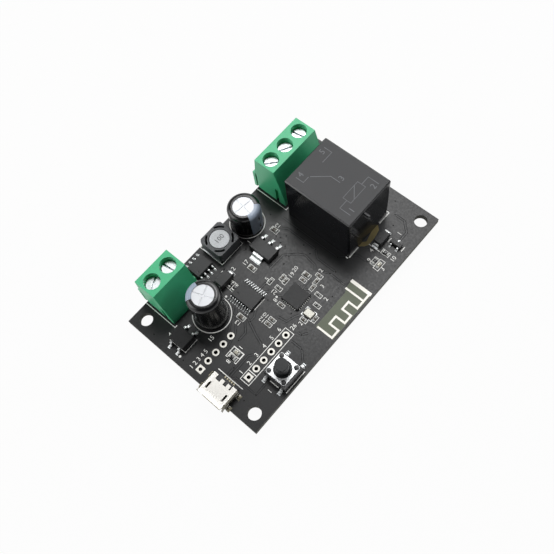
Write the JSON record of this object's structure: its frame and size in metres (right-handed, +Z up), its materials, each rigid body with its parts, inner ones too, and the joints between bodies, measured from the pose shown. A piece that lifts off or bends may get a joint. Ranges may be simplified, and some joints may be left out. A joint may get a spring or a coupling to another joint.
{
  "type": "relay module",
  "caption": "Bare circuit-board relay module with a cube relay, green rising-cage screw terminals, round capacitors, a printed antenna, a push switch and a micro USB socket.",
  "frame": {"origin": "centre of the mounting-hole rectangle, on the board's underside", "axes": "+X along the board towards the relay, +Y towards the terminal blocks, +Z up through the components"},
  "size_m": [0.0675, 0.0411, 0.0185],
  "materials": {
    "solder_mask": "satin solder mask over glass epoxy",
    "tinned_copper": "tinned copper",
    "solder": "bright solder",
    "green_nylon": "moulded nylon",
    "zinc_steel": "zinc-plated steel",
    "tinned_brass": "tin-plated brass",
    "relay_plastic": "glossy moulded sides",
    "black_plastic": "moulded",
    "soft_iron": "annealed iron",
    "white_nylon": "moulded nylon",
    "enamelled_copper": "enamelled copper wire",
    "contact_bronze": "spring bronze",
    "drawn_aluminium": "drawn can",
    "sleeve_film": "shrunk film",
    "seal_rubber": "moulded rubber",
    "wound_foil": "wound foil and paper",
    "ferrite": "fired ferrite",
    "ferrite_core": "ground ferrite",
    "moulded_epoxy": "moulded epoxy",
    "tinned_leads": "tinned leads",
    "ceramic": "fired ceramic",
    "lid_steel": "plated lid",
    "resistor_film": "glazed film",
    "tan_ceramic": "fired ceramic",
    "led_board": "white laminate",
    "clear_resin": "clear resin",
    "cover_steel": "pressed stainless steel",
    "slate_plastic": "moulded",
    "spring_steel": "spring steel",
    "nickel_shell": "nickel-plated steel",
    "gold_contact": "gold flash"
  },
  "bodies": {
    "board": {"circuit_board": "solder_mask", "plated_copper": "tinned_copper", "solder_joints": "solder", "terminal_housing_two_way": "green_nylon", "terminal_housing_three_way": "green_nylon", "terminal_contacts": "tinned_brass", "relay_case": "relay_plastic", "relay_base": "black_plastic", "relay_yoke": "soft_iron", "relay_core": "soft_iron", "relay_bobbin": "white_nylon", "relay_coil": "enamelled_copper", "relay_contact_posts": "contact_bronze", "relay_pins": "tinned_leads", "capacitor_cans": "drawn_aluminium", "capacitor_sleeves": "sleeve_film", "capacitor_seals": "seal_rubber", "capacitor_leads": "tinned_leads", "capacitor_rolls": "wound_foil", "inductor_shield": "ferrite", "inductor_core": "ferrite_core", "inductor_winding": "enamelled_copper", "inductor_terminals": "tinned_leads", "buck_converter": "moulded_epoxy", "microcontroller": "moulded_epoxy", "radio_chip": "moulded_epoxy", "voltage_regulator": "moulded_epoxy", "bridge_rectifier": "moulded_epoxy", "power_diodes": "moulded_epoxy", "driver_transistor": "moulded_epoxy", "chip_leads": "tinned_leads", "diode_terminals": "tinned_leads", "radio_chip_pads": "tinned_leads", "crystal_base": "ceramic", "crystal_lid": "lid_steel", "chip_resistors": "resistor_film", "chip_capacitors": "tan_ceramic", "chip_end_caps": "tinned_leads", "led_bases": "led_board", "led_lenses": "clear_resin", "switch_base": "black_plastic", "switch_cover": "cover_steel", "switch_dome": "spring_steel", "switch_legs": "tinned_leads", "usb_shell": "nickel_shell", "usb_insulator": "black_plastic", "usb_contacts": "gold_contact"},
    "armature": {"relay_armature": "soft_iron", "relay_contact_leaf": "contact_bronze"},
    "button": {"switch_button": "slate_plastic"},
    "screw_1": {"terminal_screw_1": "zinc_steel"},
    "cage_1": {"clamp_cage_1": "zinc_steel"},
    "screw_2": {"terminal_screw_2": "zinc_steel"},
    "cage_2": {"clamp_cage_2": "zinc_steel"},
    "screw_3": {"terminal_screw_3": "zinc_steel"},
    "cage_3": {"clamp_cage_3": "zinc_steel"},
    "screw_4": {"terminal_screw_4": "zinc_steel"},
    "cage_4": {"clamp_cage_4": "zinc_steel"},
    "screw_5": {"terminal_screw_5": "zinc_steel"},
    "cage_5": {"clamp_cage_5": "zinc_steel"}
  },
  "joints": [
    {"name": "screw_1_turn", "type": "hinge", "parent": "board", "child": "screw_1", "pos_m": [-0.02405, 0.01655, 0.01145], "axis": [0, 0, -1], "range_deg": [0, 1800]},
    {"name": "cage_1_rise", "type": "slide", "parent": "board", "child": "cage_1", "axis": [0, 0, 1], "range_m": [0, 0.0025]},
    {"name": "screw_2_turn", "type": "hinge", "parent": "board", "child": "screw_2", "pos_m": [-0.01905, 0.01655, 0.01145], "axis": [0, 0, -1], "range_deg": [0, 1800]},
    {"name": "cage_2_rise", "type": "slide", "parent": "board", "child": "cage_2", "axis": [0, 0, 1], "range_m": [0, 0.0025]},
    {"name": "screw_3_turn", "type": "hinge", "parent": "board", "child": "screw_3", "pos_m": [0.01545, 0.01655, 0.01145], "axis": [0, 0, -1], "range_deg": [0, 1800]},
    {"name": "cage_3_rise", "type": "slide", "parent": "board", "child": "cage_3", "axis": [0, 0, 1], "range_m": [0, 0.0025]},
    {"name": "screw_4_turn", "type": "hinge", "parent": "board", "child": "screw_4", "pos_m": [0.02045, 0.01655, 0.01145], "axis": [0, 0, -1], "range_deg": [0, 1800]},
    {"name": "cage_4_rise", "type": "slide", "parent": "board", "child": "cage_4", "axis": [0, 0, 1], "range_m": [0, 0.0025]},
    {"name": "screw_5_turn", "type": "hinge", "parent": "board", "child": "screw_5", "pos_m": [0.02545, 0.01655, 0.01145], "axis": [0, 0, -1], "range_deg": [0, 1800]},
    {"name": "cage_5_rise", "type": "slide", "parent": "board", "child": "cage_5", "axis": [0, 0, 1], "range_m": [0, 0.0025]},
    {"name": "armature_swing", "type": "hinge", "parent": "board", "child": "armature", "pos_m": [0.0192, 0.0076, 0.01335], "axis": [1, 0, 0], "range_deg": [0, 3.8], "stiffness_Nm_per_rad": 0.01, "springref_deg": -2.86},
    {"name": "button_press", "type": "slide", "parent": "board", "child": "button", "axis": [0, 0, -1], "range_m": [0, 0.00025], "stiffness_N_per_m": 4000, "springref_m": -0.0001, "deforming": ["switch_dome"]}
  ],
  "couplings": [
    {"joint": "screw_1_turn", "follows": "cage_1_rise", "rad_per_m": 12566},
    {"joint": "screw_2_turn", "follows": "cage_2_rise", "rad_per_m": 12566},
    {"joint": "screw_3_turn", "follows": "cage_3_rise", "rad_per_m": 12566},
    {"joint": "screw_4_turn", "follows": "cage_4_rise", "rad_per_m": 12566},
    {"joint": "screw_5_turn", "follows": "cage_5_rise", "rad_per_m": 12566}
  ]
}
